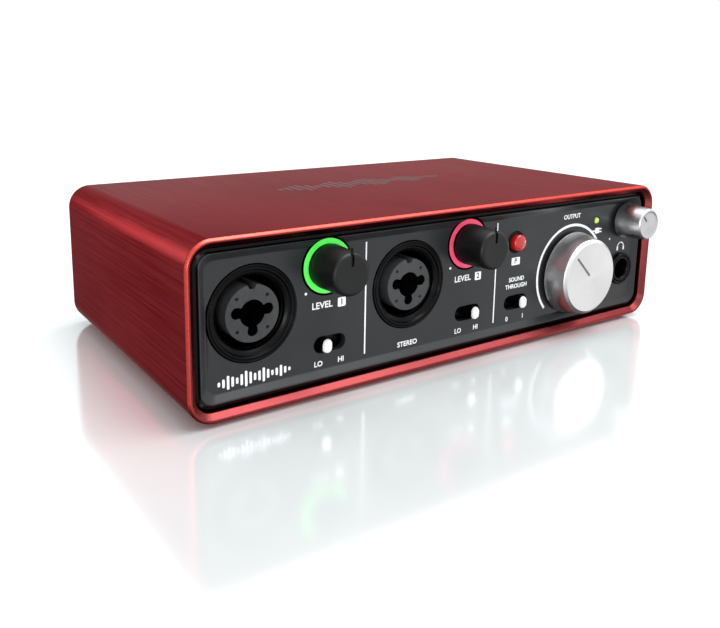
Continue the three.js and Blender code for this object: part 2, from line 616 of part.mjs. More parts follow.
addPiece('front_board', 'board', block(
  [-77.5, 77.5], [FRONT_BOARD_Y, FRONT_BOARD_Y + BOARD_THICKNESS], [4.5, 41.5],
));
const mainBoardEdge = INNER_WIDTH / 2 - 1.5;
addPiece('main_board', 'board', block(
  [-mainBoardEdge, mainBoardEdge], [MAIN_BOARD_Y, REAR_PLATE_Y - 1], [MAIN_BOARD_Z, MAIN_BOARD_TOP],
));
addPiece('board_header', 'black_plastic', block(
  [-22, 22], [FRONT_BOARD_Y + BOARD_THICKNESS + GAP, FRONT_BOARD_Y + 8], [PARTS_FLOOR_Z, PARTS_FLOOR_Z + 8],
));

const onBoard = (x, y) => ({ x, y, z: PARTS_FLOOR_Z });
addPiece('usb_chip', 'chip', block(around(0, 12), around(0, 12), [0, 1.6]), onBoard(34, 62));
addPiece('converter_chip', 'chip', block(around(0, 9), around(0, 9), [0, 1.6]), onBoard(-30, 50));
addPiece('power_inductor', 'chip', block(around(0, 8), around(0, 8), [0, 4]), onBoard(60, 70));
[52, 62, 72].forEach((x, i) => {
  const can = revolve([[0, 0], [3.2, 0], [3.2, 7.4], [2.8, 8], [0, 8]], 12).rotateX(Math.PI / 2);
  addPiece(`capacitor_${i + 1}`, 'can', can, onBoard(x, 48));
});

// ---- Rear connectors ----

LINE_OUT.xs.forEach((x, i) => {
  const at = { x, z: LINE_OUT.z };
  addPiece(`line_out_jack_${i + 1}`, 'black_plastic', jackShape({
    width: 14, height: 12.6, bushing: LINE_OUT.bushing,
    bodyFrom: 72, bodyTo: REAR_PLATE_Y - 0.6, mouth: SLEEVE_DEPTH + REAR_REACH, boreEnd: 75,
  }), at);
  const nut = shape(drum(7.2, 0, 2, {}, 6), { cut: [drum(LINE_OUT.bushing + GAP, -1, 3)] });
  addPiece(`line_out_nut_${i + 1}`, 'steel', nut, { ...at, y: REAR_PLATE_BACK_Y + GAP });
});

// The USB socket: a metal shell round a plastic core with a contact tongue.
function usbShellShape() {
  const { width, height, depth } = USB_SOCKET;
  const to = REAR_PLATE_BACK_Y + 1.5;
  const outer = bar({ width, height, radius: 0.8, from: to - depth, to, steps: 2 });
  const inner = bar({
    width: width - 1, height: height - 1, radius: 0.4, from: to - depth + 0.6, to: to + 1, steps: 2,
  });
  return shape(outer, { cut: [inner] });
}

function usbCoreShape() {
  const { width, height, depth } = USB_SOCKET;
  const to = REAR_PLATE_BACK_Y + 1.2;
  const from = to - depth + 1.5;
  const mouth = [from + 3, to + 1];
  const core = block(around(0, width - 1 - 2 * GAP), [from, to], around(0, height - 1 - 2 * GAP));
  const cavity = block(around(0, 8.45), mouth, around(0, 7.78));
  const tongue = block(around(0, 5.6), [from + 2, to - 1], around(0, 3.2));
  return shape(shape(core, { cut: [cavity] }), { add: [tongue] });
}

addPiece('usb_socket_shell', 'steel', usbShellShape(), { x: USB_SOCKET.x, z: USB_MIDDLE_Z });
addPiece('usb_socket_core', 'white_plastic', usbCoreShape(), { x: USB_SOCKET.x, z: USB_MIDDLE_Z });

export default model;
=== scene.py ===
"""A red desktop audio interface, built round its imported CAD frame.

Everything is in metres in the row frame: X to the right seen from the front, Y to the rear, Z up.
Outlines are lists of (x, z) points, anticlockwise seen from the front, and most pieces are made of rings
of such an outline at different depths y. Profiles are rows of (radius or inset, y, cut) in mm, where cut
is how far from a corner its rounding begins.
"""
import math

import bmesh
import bpy
from mathutils import Matrix, Vector
from mathutils.geometry import tessellate_polygon


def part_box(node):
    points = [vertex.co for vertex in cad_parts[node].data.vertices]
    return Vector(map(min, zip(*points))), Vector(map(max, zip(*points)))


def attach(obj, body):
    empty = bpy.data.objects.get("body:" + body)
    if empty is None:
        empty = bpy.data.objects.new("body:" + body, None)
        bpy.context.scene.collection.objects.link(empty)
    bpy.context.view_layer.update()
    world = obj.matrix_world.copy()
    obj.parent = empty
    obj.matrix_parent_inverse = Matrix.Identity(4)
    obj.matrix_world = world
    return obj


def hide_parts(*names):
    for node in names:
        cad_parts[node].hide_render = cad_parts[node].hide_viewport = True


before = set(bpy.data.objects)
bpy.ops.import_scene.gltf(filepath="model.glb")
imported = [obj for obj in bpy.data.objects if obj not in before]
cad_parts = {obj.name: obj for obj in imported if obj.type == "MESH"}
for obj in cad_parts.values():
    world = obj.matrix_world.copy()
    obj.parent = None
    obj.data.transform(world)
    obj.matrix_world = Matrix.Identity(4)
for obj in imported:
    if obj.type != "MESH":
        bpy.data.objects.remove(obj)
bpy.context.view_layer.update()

MM = 0.001
ORIGIN = Vector()
CHANNELS = (1, 2)
CORNERS = (1, 2, 3, 4)


# ---- Outlines and profiles ----

def rounded_rectangle(width, height, radius, steps=12):
    """A rounded rectangle about the origin."""
    points = []
    for quarter, (side_x, side_z) in enumerate([(1, 1), (-1, 1), (-1, -1), (1, -1)]):
        for step in range(steps + 1):
            angle = math.radians(90 * (quarter + step / steps))
            x = side_x * (width / 2 - radius) + radius * math.cos(angle)
            z = side_z * (height / 2 - radius) + radius * math.sin(angle)
            points.append((x, z))
    return points


def circle(radius, count=72):
    angles = [math.tau * i / count for i in range(count)]
    return [(radius * math.cos(a), radius * math.sin(a)) for a in angles]


def shifted(outline, x, z):
    return [(px + x, pz + z) for px, pz in outline]


# An outline function gives an outline drawn in by an inset.

def rectangle_about(width, height, radius, corner_share=1.0):
    """A rounded rectangle, whose corner radius shrinks by corner_share of the inset."""
    return lambda inset: rounded_rectangle(
        width - 2 * inset, height - 2 * inset, max(radius - corner_share * inset, 0.1 * MM))


def circle_about(radius, count=72):
    return lambda inset: circle(radius - inset, count)


def polar(reach, count=144):
    """An outline function from reach(angle), the radius in each direction."""
    angles = [math.tau * i / count for i in range(count)]
    return lambda inset: [
        ((reach(a) - inset) * math.cos(a), (reach(a) - inset) * math.sin(a)) for a in angles]


def softened(corners, steps, closed):
    """Rounds the corners of a path of (a, b, cut)."""
    most = 0.49  # of a side's length, so that two roundings never meet
    path = []
    count = len(corners)
    for i, (a, b, cut) in enumerate(corners):
        here = Vector((a, b))
        if not cut or (not closed and i in (0, count - 1)):
            path.append((a, b))
            continue
        before = Vector(corners[i - 1][:2])
        after = Vector(corners[(i + 1) % count][:2])
        start = here + (before - here).normalized() * min(cut, (before - here).length * most)
        end = here + (after - here).normalized() * min(cut, (after - here).length * most)
        for step in range(steps + 1):
            t = step / steps
            point = start * (1 - t) ** 2 + here * 2 * t * (1 - t) + end * t ** 2
            path.append(tuple(point))
    return path


def profile(start, rows, step=MM, steps=4, closed=False):
    """A path in metres from rows in mm, whose y is counted from start along step."""
    return softened([(a * MM, start + y * step, cut * MM) for a, y, cut in rows], steps, closed)


def wall_path(front, rear, inset, cut):
    """The path of a wall with a rounded front edge. Its inset is above 0 for a plate's border and below 0
    for a hole's."""
    return softened([(inset * MM, front, 0), (0, front, cut * MM), (0, rear, 0)], 4, False)


# ---- Mesh building ----

def linked(name, data):
    made = bpy.data.objects.new(name, data)
    bpy.context.scene.collection.objects.link(made)
    return made


class Shell:
    """Collects rings and flat faces into one closed mesh. A shape stands about its centre's x and z."""

    def __init__(self):
        self.mesh = bmesh.new()

    def ring(self, outline, y, centre=ORIGIN):
        return [self.mesh.verts.new((x + centre.x, y, z + centre.z)) for x, z in outline]

    def walls(self, rings, closed=False):
        """Joins each ring to the next with quads, and the last to the first if closed."""
        pairs = list(zip(rings, rings[1:]))
        if closed:
            pairs.append((rings[-1], rings[0]))
        for first, second in pairs:
            for i in range(len(first)):
                j = (i + 1) % len(first)
                self.mesh.faces.new((first[i], first[j], second[j], second[i]))

    def swept(self, outline, path, centre=ORIGIN, closed=False):
        """Walls from an outline function along a path of (inset, y) points. Returns their rings."""
        rings = [self.ring(outline(inset), y, centre) for inset, y in path]
        self.walls(rings, closed)
        return rings

    def flat(self, outer, holes=()):
        """Fills a flat face inside a ring and outside its holes."""
        loops = [outer, *holes]
        corners = [vertex for loop in loops for vertex in loop]
        polygon = [[Vector((v.co.x, v.co.z, 0)) for v in loop] for loop in loops]
        for a, b, c in tessellate_polygon(polygon):
            self.mesh.faces.new((corners[a], corners[b], corners[c]))

    def fan(self, ring, y):
        """Closes a ring with a fan about its middle."""
        centre = sum((v.co for v in ring), Vector()) / len(ring)
        tip = self.mesh.verts.new((centre.x, y, centre.z))
        for i in range(len(ring)):
            self.mesh.faces.new((ring[i], ring[(i + 1) % len(ring)], tip))

    def turned(self, path, centre=ORIGIN, count=72, closed=False):
        """A solid of revolution about the y axis, from a path of (radius, y) points. A closed path gives a
        ring, and any other starts and ends on the axis."""
        points = path if closed else path[1:-1]
        rings = self.swept(lambda radius: circle(radius, count), points, centre, closed)
        if not closed:
            self.fan(rings[0], path[0][1])
            self.fan(rings[-1], path[-1][1])

    def bar(self, outline, path, centre=ORIGIN):
        """A solid bar from an outline function."""
        rings = self.swept(outline, path, centre)
        self.flat(rings[0])
        self.flat(rings[-1])

    def plate(self, outline, edge, centre, holes=(), blind=()):
        """A plate with holes. edge is the path from the front face's border round to the rear face. holes
        are (outline, centre, path), each path from front to rear, and a blind hole ends in a flat floor."""
        border = self.swept(outline, edge, centre)
        bores = [self.swept(shape, path, place_at) for shape, place_at, path in [*holes, *blind]]
        self.flat(border[0], [bore[0] for bore in bores])
        self.flat(border[-1], [bore[-1] for bore in bores[:len(holes)]])
        for bore in bores[len(holes):]:
            self.flat(bore[-1])

    def box(self, low, high):
        matrix = Matrix.LocRotScale((Vector(low) + Vector(high)) / 2, None, Vector(high) - Vector(low))
        bmesh.ops.create_cube(self.mesh, size=1, matrix=matrix)

    def to_object(self, name):
        bmesh.ops.recalc_face_normals(self.mesh, faces=self.mesh.faces)
        mesh = bpy.data.meshes.new(name)
        self.mesh.to_mesh(mesh)
        self.mesh.free()
        return linked(name, mesh)


def turned_piece(name, path, centre, count=72, closed=False):
    shell = Shell()
    shell.turned(path, centre, count, closed)
    return shell.to_object(name)


def evaluated_mesh(source):
    """A copy of an object's mesh with its modifiers applied."""
    depsgraph = bpy.context.evaluated_depsgraph_get()
    depsgraph.update()
    return bpy.data.meshes.new_from_object(source.evaluated_get(depsgraph))


def carve(target, cutters):
    """Cuts the cutters out of target and removes them."""
    for cutter in cutters:
        cut = target.modifiers.new("cut", "BOOLEAN")
        cut.operation = "DIFFERENCE"
        cut.solver = "EXACT"
        cut.object = cutter
    finished = evaluated_mesh(target)
    target.modifiers.clear()
    target.data = finished
    for cutter in cutters:
        bpy.data.objects.remove(cutter)


def place(made, material, body="case", replaces=(), sharp=32):
    """Finishes a piece and puts it on its body. Bends of more than sharp degrees stay sharp."""
    mesh = made.data
    mesh.materials.clear()
    mesh.materials.append(material)
    mesh.shade_smooth()
    mesh.set_sharp_from_angle(angle=math.radians(sharp))
    weighted = made.modifiers.new("weighted_normals", "WEIGHTED_NORMAL")
    weighted.keep_sharp = True
    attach(made, body)
    if replaces:
        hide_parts(*replaces)


def repaint(made, material, chosen):
    """Gives a second material to the faces that chosen(face) picks."""
    made.data.materials.append(material)
    for face in made.data.polygons:
        if chosen(face):
            face.material_index = 1


# ---- Places, from the CAD frame ----

def span(node):
    """A node's lowest corner, highest corner and middle."""
    low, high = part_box(node)
    return low, high, (low + high) / 2


def middle(node):
    return span(node)[2]


SLEEVE_LOW, SLEEVE_HIGH, SLEEVE_MIDDLE = span("sleeve")
SLEEVE_SIZE = SLEEVE_HIGH - SLEEVE_LOW
FRONT_Y = SLEEVE_LOW.y
PANEL_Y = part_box("combo_insert_1")[0].y
SKIN = 0.03 * MM  # printed and etched marks stand this far out of the surface that carries them


def behind(y):
    """The frame's y of a depth in mm behind the sleeve's front edge."""
    return FRONT_Y + y * MM


# ---- Finishes ----

def add_node(tree, kind, operation=None, values=(), **inputs):
    """A new node. values fill its inputs in order, and the rest go by name, with underscores for spaces.
    A value that is another node's output is linked."""
    made = tree.nodes.new(kind)
    if operation:
        made.operation = operation
    named = [(key.replace("_", " "), value) for key, value in inputs.items()]
    for key, value in [*enumerate(values), *named]:
        if isinstance(value, bpy.types.NodeSocket):
            tree.links.new(value, made.inputs[key])
        else:
            made.inputs[key].default_value = value
    return made


def add_ramp(tree, factor, dark, light, spread):
    """A colour that goes from dark to light as factor goes through spread."""
    ramp = add_node(tree, "ShaderNodeValToRGB", Fac=factor)
    for i, colour in enumerate((dark, light)):
        ramp.color_ramp.elements[i].position = spread[i]
        ramp.color_ramp.elements[i].color = (*colour, 1)
    return ramp.outputs["Color"]


def add_range(tree, value, start, end, low=0.0, high=1.0):
    """A value that goes from low to high as another goes from start to end."""
    made = add_node(tree, "ShaderNodeMapRange", Value=value,
                    From_Min=start, From_Max=end, To_Min=low, To_Max=high)
    return made.outputs["Result"]


class Finish:
    """A node material built round one Principled shader, with noise in object coordinates."""

    def __init__(self, name, roughness, metallic=0.0, **settings):
        self.material = bpy.data.materials.new(name)
        self.material.use_nodes = True
        self.tree = self.material.node_tree
        self.shader = self.tree.nodes["Principled BSDF"]
        self.shader.inputs["Roughness"].default_value = roughness
        self.shader.inputs["Metallic"].default_value = metallic
        for key, value in settings.items():
            self.shader.inputs[key.replace("_", " ")].default_value = value
        self.place = self.node("ShaderNodeTexCoord").outputs["Object"]

    def node(self, kind, operation=None, values=(), **inputs):
        return add_node(self.tree, kind, operation, values, **inputs)

    def link(self, source, socket):
        self.tree.links.new(source, self.shader.inputs[socket])
        return self

    def noise(self, stretch, detail, offset=0.0):
        """Noise from 0 to 1 whose grain has stretch waves per metre along x, y and z. offset moves it."""
        mapping = self.node("ShaderNodeMapping", Vector=self.place, Location=(offset,) * 3, Scale=stretch)
        made = self.node("ShaderNodeTexNoise", Vector=mapping.outputs["Vector"], Scale=1.0, Detail=detail)
        return made.outputs["Fac"]

    def rings(self, centre, waves):
        """Turning marks round a line along y through centre, with waves rings per metre."""
        away = self.node("ShaderNodeVectorMath", "SUBTRACT", (self.place, centre))
        across = self.node("ShaderNodeVectorMath", "MULTIPLY", (away.outputs["Vector"], (waves, 0, waves)))
        length = self.node("ShaderNodeVectorMath", "LENGTH", (across.outputs["Vector"],))
        split = self.node("ShaderNodeSeparateXYZ", Vector=self.place)
        along = self.node("ShaderNodeMath", "MULTIPLY", (split.outputs["Y"], waves))
        lathe = self.node("ShaderNodeCombineXYZ", X=length.outputs["Value"], Y=along.outputs["Value"])
        made = self.node("ShaderNodeTexNoise", Vector=lathe.outputs["Vector"], Scale=1.0, Detail=3.0)
        return made.outputs["Fac"]

    def mixed(self, first, second, share=0.5):
        return self.node("ShaderNodeMix", Factor=share, A=first, B=second).outputs["Result"]

    def colour(self, factor, dark, light, spread=(0.3, 0.7), socket="Base Color"):
        return self.link(add_ramp(self.tree, factor, dark, light, spread), socket)

    def roughness(self, factor, low, high):
        return self.link(add_range(self.tree, factor, 0.3, 0.7, low, high), "Roughness")

    def bump(self, height, depth, strength=0.5):
        made = self.node("ShaderNodeBump", Height=height, Distance=depth, Strength=strength)
        return self.link(made.outputs["Normal"], "Normal")

    def brushed_along_y(self, amount):
        """Stretches highlights across a grain that runs along y."""
        tangent = self.node("ShaderNodeTangent")
        tangent.direction_type = "RADIAL"
        tangent.axis = "Y"
        self.shader.inputs["Anisotropic"].default_value = amount
        return self.link(tangent.outputs["Tangent"], "Tangent")


def moulded(name, dark, light, roughness, grain=2600, depth=0.012 * MM, **settings):
    """Moulded plastic: a fine spark-eroded grain with faint clouds in colour and gloss."""
    made = Finish(name, roughness, **settings)
    clouds = made.noise((90, 90, 90), 4, 3.1)
    fine = made.noise((grain, grain, grain), 2)
    made.colour(made.mixed(clouds, fine, 0.35), dark, light)
    made.roughness(clouds, roughness - 0.06, roughness + 0.06)
    return made.bump(fine, depth, 0.6).material


def turned_metal(name, dark, light, roughness, centre):
    """Metal turned on a lathe, with rings round centre and faint smudges."""
    made = Finish(name, roughness, 1.0)
    rings = made.rings(centre, 5200)
    smudges = made.noise((110, 110, 110), 4, 7.7)
    made.colour(made.mixed(rings, smudges, 0.4), dark, light)
    made.roughness(made.mixed(rings, smudges), roughness - 0.05, roughness + 0.08)
    made.bump(rings, 0.004 * MM)
    return made.brushed_along_y(0.75).material


def plated_metal(name, dark, light, roughness, grain=900, metallic=1.0):
    """Plated or pressed sheet metal, with clouded gloss and a fine grain."""
    made = Finish(name, roughness, metallic)
    clouds = made.noise((160, 160, 160), 5, 1.3)
    fine = made.noise((grain, grain, grain), 3)
    made.colour(clouds, dark, light)
    made.roughness(made.mixed(clouds, fine), roughness - 0.08, roughness + 0.1)
    return made.bump(fine, 0.006 * MM).material


def lit_plastic(name, dark, light, glow, strength, **settings):
    """A translucent light guide, lit from behind, a little uneven along its length."""
    made = Finish(name, 0.3, Emission_Color=(*glow, 1), Emission_Strength=strength, **settings)
    clouds = made.noise((260, 260, 260), 2, 5.0)
    made.colour(clouds, dark, light)
    made.colour(clouds, [c * 0.82 for c in glow], glow, socket="Emission Color")
    return made.roughness(clouds, 0.24, 0.36).material


def printed(name, dark, light):
    """Screen-printed ink, slightly mottled."""
    made = Finish(name, 0.55)
    mottle = made.noise((1800, 1800, 1800), 2, 2.0)
    made.colour(mottle, dark, light)
    return made.roughness(mottle, 0.5, 0.62).material


def anodised_red():
    """Brushed and red anodised aluminium: long fine scratches along y under a thin clear layer."""
    made = Finish("anodised_red", 0.34, 1.0, Specular_Tint=(0.53, 0.35, 0.36, 1))
    streaks = made.noise((1900, 16, 1900), 5)
    scratches = made.noise((5200, 60, 5200), 3, 9.0)
    clouds = made.noise((26, 14, 26), 4, 4.0)
    grain = made.mixed(streaks, scratches, 0.45)
    made.colour(made.mixed(grain, clouds, 0.35), (0.2, 0.036, 0.038), (0.35, 0.067, 0.069), (0.36, 0.64))
    made.roughness(grain, 0.26, 0.46)
    made.bump(grain, 0.02 * MM)
    return made.brushed_along_y(0.6).material


def machined_red():
    """The sleeve's front bevel: the same red, machined bright before anodising, and made brighter still as a
    painted highlight for the bright floor that the bevel reflects.
    """
    made = Finish("machined_red", 0.3, 1.0, Specular_Tint=(0.9, 0.5, 0.5, 1))
    marks = made.noise((900, 900, 2600), 3, 6.0)
    clouds = made.noise((45, 45, 45), 3, 2.0)
    made.colour(made.mixed(marks, clouds), (0.72, 0.075, 0.06), (0.9, 0.11, 0.085))
    made.roughness(marks, 0.26, 0.4)
    return made.bump(marks, 0.006 * MM).material


RED = anodised_red()
RED_EDGE_AND_HIGHLIGHT = machined_red()
FASCIA = moulded("fascia_plastic", (0.011, 0.012, 0.0135), (0.019, 0.0205, 0.023), 0.36, 3400)
BLACK = moulded("black_plastic", (0.001, 0.001, 0.0011), (0.003, 0.003, 0.0033), 0.26, 2200,
                Specular_IOR_Level=0.14)
INSERT = moulded("insert_plastic", (0.028, 0.029, 0.03), (0.055, 0.056, 0.059), 0.4, 1500, 0.03 * MM,
                 Specular_IOR_Level=0.35)
KNOB = moulded("soft_black", (0.0025, 0.0028, 0.0028), (0.006, 0.0065, 0.0065), 0.44, 3800, 0.015 * MM,
               Specular_IOR_Level=0.4)
WHITE = moulded("white_plastic", (0.78, 0.78, 0.76), (0.9, 0.9, 0.88), 0.3, 1800, 0.006 * MM)
RUBBER = moulded("foot_rubber", (0.008, 0.008, 0.008), (0.022, 0.022, 0.022), 0.8, 1500, 0.05 * MM)
REAR = moulded("rear_paint", (0.01, 0.01, 0.011), (0.022, 0.022, 0.024), 0.45, 1700, 0.03 * MM)
STEEL = plated_metal("plated_steel", (0.42, 0.42, 0.43), (0.62, 0.62, 0.63), 0.3)
NICKEL = plated_metal("nickel", (0.5, 0.5, 0.5), (0.72, 0.71, 0.69), 0.24, 1200)
BLACK_SCREW_AND_SHADE = plated_metal("black_oxide_and_shade", (0.012, 0.012, 0.013), (0.035, 0.035, 0.037), 0.4, 1500, 0.6)
BOARD = moulded("solder_mask", (0.008, 0.06, 0.025), (0.016, 0.12, 0.045), 0.45, 700)
CHIP = moulded("chip_epoxy", (0.01, 0.01, 0.011), (0.024, 0.024, 0.026), 0.6, 2600)
CAN = plated_metal("can_aluminium", (0.55, 0.56, 0.58), (0.75, 0.76, 0.78), 0.35)
GREEN_LIGHT = lit_plastic("halo_green", (0.05, 0.3, 0.05), (0.08, 0.4, 0.07), (0.06, 0.86, 0.07), 0.82)
RED_LIGHT = lit_plastic("halo_red", (0.3, 0.03, 0.06), (0.4, 0.05, 0.09), (0.72, 0.05, 0.13), 0.8)
SMALL_LIGHT = lit_plastic("usb_light", (0.2, 0.3, 0.04), (0.3, 0.4, 0.08), (0.6, 0.8, 0.22), 0.7)
GLOSS_WHITE = moulded("glossy_white", (0.8, 0.8, 0.79), (0.9, 0.9, 0.89), 0.16, 1800, 0.004 * MM)
BUTTON_RED = lit_plastic("button_red", (0.36, 0.003, 0.003), (0.5, 0.006, 0.005), (0.7, 0.01, 0.006), 0.12,
                         Coat_Weight=1.0, Coat_Roughness=0.06)
INK = printed("light_ink", (0.8, 0.81, 0.82), (0.92, 0.93, 0.94))
DARK_INK = printed("dark_ink", (0.02, 0.022, 0.025), (0.045, 0.048, 0.052))
# The grey that fills the silver knobs' pointer grooves is painted shade in the grooves, not ink.
POINTER = printed("pointer_shade_grey", (0.14, 0.142, 0.146), (0.22, 0.223, 0.228))
ETCHED = printed("etched_mark", (0.035, 0.008, 0.008), (0.07, 0.016, 0.015))


# ---- Case ----

CORNER_RADIUS = 7 * MM
WALL = 2.5  # mm
PLATE_RADIUS = 4.2 * MM  # the corners of the fascia and the rear plate
FASCIA_RIM = -1.45  # mm from the fascia's flat panel to its rim, and below to its rear face
FASCIA_REAR = 2
RING_OPENING = 8 * MM  # radius of the light rings' openings
LOCK_SLOT = Vector((62 * MM, 0, SLEEVE_LOW.z + 23 * MM))

# Radius in mm of the fascia's round opening at each of these nodes.
ROUND_OPENINGS = {
    "combo_shell_1": 12.75,
    "combo_shell_2": 12.75,
    "monitor_pot": 3.3,
    "phones_pot": 3.3,
    "phones_nut": 4.7,
    "phantom_button": 2.95,
    "usb_light_pipe": 1.25,
}
SWITCH_OPENINGS = ("level_switch_body_1", "level_switch_body_2", "monitor_switch_body")


def make_sleeve():
    outline = rectangle_about(SLEEVE_SIZE.x, SLEEVE_SIZE.z - 2 * SKIN, CORNER_RADIUS)
    rear = SLEEVE_SIZE.y / MM
    shell = Shell()
    shell.swept(outline, profile(FRONT_Y, [
        (0, 0.6, 0.25), (0.6, 0, 0.15), (1.1, 0, 0.15), (WALL, 1.5, 0.3),
        (WALL, rear, 0.2), (0.8, rear, 0.3), (0, rear - 0.8, 0.45),
    ], closed=True), SLEEVE_MIDDLE, closed=True)
    sleeve = shell.to_object("sleeve_shell")
    place(sleeve, RED, replaces=["sleeve"])

    def on_front_bevel(face):
        away = face.center - SLEEVE_MIDDLE
        outward = face.normal.x * away.x + face.normal.z * away.z
        return face.center.y < behind(0.62) and outward > 1.5 * MM

    # Partly painted highlight: the front bevel takes a far lighter red than the body, for its machined finish
    # and for the floor's reflection painted in.
    repaint(sleeve, RED_EDGE_AND_HIGHLIGHT, on_front_bevel)


def make_fascia():
    low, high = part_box("front_fascia")
    size = high - low
    rear = PANEL_Y + FASCIA_REAR * MM
    edge = profile(PANEL_Y, [
        (3.7, 0, 0), (3.3, 0, 0.2), (1.5, FASCIA_RIM, 0.35), (1.2, FASCIA_RIM, 0.14),
        (0.9, FASCIA_RIM + 0.6, 0.14), (0.12, FASCIA_RIM + 0.8, 0.1), (0, FASCIA_REAR, 0),
    ], steps=6)
    path = wall_path(PANEL_Y, rear, -0.2, 0.196)
    holes = [(circle_about(radius * MM), middle(node), path) for node, radius in ROUND_OPENINGS.items()]
    slot = rectangle_about(10 * MM, 4.5 * MM, 2.25 * MM)
    holes += [(slot, middle(node), path) for node in SWITCH_OPENINGS]
    shell = Shell()
    shell.plate(rectangle_about(size.x, size.z, PLATE_RADIUS, 0.4), edge, SLEEVE_MIDDLE, holes)
    fascia = shell.to_object("fascia")
    # The light rings reach into the sloped border, so their openings are cut through both.
    cutters = []
    for channel in CHANNELS:
        cutter = Shell()
        cutter.bar(circle_about(RING_OPENING, 96), [(0, PANEL_Y + (FASCIA_RIM - 1) * MM), (0, rear + MM)],
                   middle(f"gain_pot_{channel}"))
        cutters.append(cutter.to_object("ring_opening"))
    carve(fascia, cutters)
    place(fascia, FASCIA, replaces=["front_fascia"])

    def on_rim(face):
        """The rim and the walls outside it, painted black as the shade in the gap between the sleeve and the
        fascia.
        """
        margin_x = size.x / 2 - abs(face.center.x)
        margin_z = size.z / 2 - abs(face.center.z - SLEEVE_MIDDLE.z)
        return min(margin_x, margin_z) < 1.3 * MM

    repaint(fascia, BLACK, on_rim)


def make_rear_plate():
    low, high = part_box("rear_plate")
    edge = wall_path(high.y, low.y, 0.25, 0.24)
    path = wall_path(high.y, low.y, -0.15, 0.147)
    holes = [(circle_about(4.9 * MM), middle(f"line_out_jack_{channel}"), path) for channel in CHANNELS]
    holes += [
        (rectangle_about(12.6 * MM, 11.6 * MM, 1.1 * MM), middle("usb_socket_shell"), path),
        (rectangle_about(7 * MM, 3 * MM, 1.3 * MM), LOCK_SLOT, path),
    ]
    holes += [(circle_about(1.8 * MM, 32), middle(f"rear_screw_{corner}"), path) for corner in CORNERS]
    shell = Shell()
    shell.plate(rectangle_about(high.x - low.x, high.z - low.z, PLATE_RADIUS), edge, SLEEVE_MIDDLE, holes)
    place(shell.to_object("rear_panel"), REAR, replaces=["rear_plate"])


def make_rear_screw(node):
    """A pan-head screw with a cross recess, whose head looks to the rear."""
    low, high, centre = span(node)
    tip = (high.y - low.y) / MM
    screw = turned_piece(f"{node}_body", profile(high.y, [
        (0, 0, 0), (1.7, 0.05, 0.8), (2.7, 0.75, 0.5), (2.7, 1.5, 0.08),
        (1.45, 1.5, 0.05), (1.45, tip - 0.6, 0.1), (0.8, tip, 0), (0, tip, 0),
    ], -MM, steps=3), centre, 32)
    recess = []
    for reach_x, reach_z in ((1.35 * MM, 0.28 * MM), (0.28 * MM, 1.35 * MM)):
        arm = Shell()
        arm.box((centre.x - reach_x, high.y - 0.9 * MM, centre.z - reach_z),
                (centre.x + reach_x, high.y + MM, centre.z + reach_z))
        recess.append(arm.to_object("recess"))
    carve(screw, recess)
    place(screw, BLACK_SCREW_AND_SHADE, replaces=[node])


def make_foot(node):
    """A round pad, turned about y and then stood up."""
    low, high, centre = span(node)
    radius, height = (high.x - low.x) / 2 / MM, high.z / MM
    foot = turned_piece(f"{node}_pad", profile(0, [
        (0, 0.12, 0), (radius - 1.7, 0.12, 0.1), (radius - 1.4, 0, 0.1),
        (radius, 0, 0.45), (radius - 0.15, height, 0.2), (0, height, 0),
    ]), ORIGIN, 48)
    foot.data.transform(Matrix.Translation((centre.x, centre.y, 0))
                        @ Matrix.Rotation(math.radians(90), 4, "X"))
    place(foot, RUBBER, replaces=[node])


# ---- Sockets ----

JACK_BORE = 3.3  # radius in mm
LINE_BUSHING = 4.6
PHONES_BUSHING = 4.4


def notched(radius, half_width, depth):
    """The reach of a disc with a key notch at the top."""
    def reach(angle):
        sideways = abs(radius * math.cos(angle))
        if math.sin(angle) > 0 and sideways < half_width:
            return radius - depth * min(1, (half_width - sideways) / (0.35 * MM))
        return radius
    return reach


def clover(hole, contact, distance, directions):
    """The reach of a round hole joined with round contact holes about it."""
    def reach(angle):
        best = hole
        for direction in directions:
            apart = angle - math.radians(direction)
            across = distance * math.sin(apart)
            if math.cos(apart) > 0 and abs(across) < contact:
                best = max(best, distance * math.cos(apart) + math.sqrt(contact ** 2 - across ** 2))
        return best
    return reach


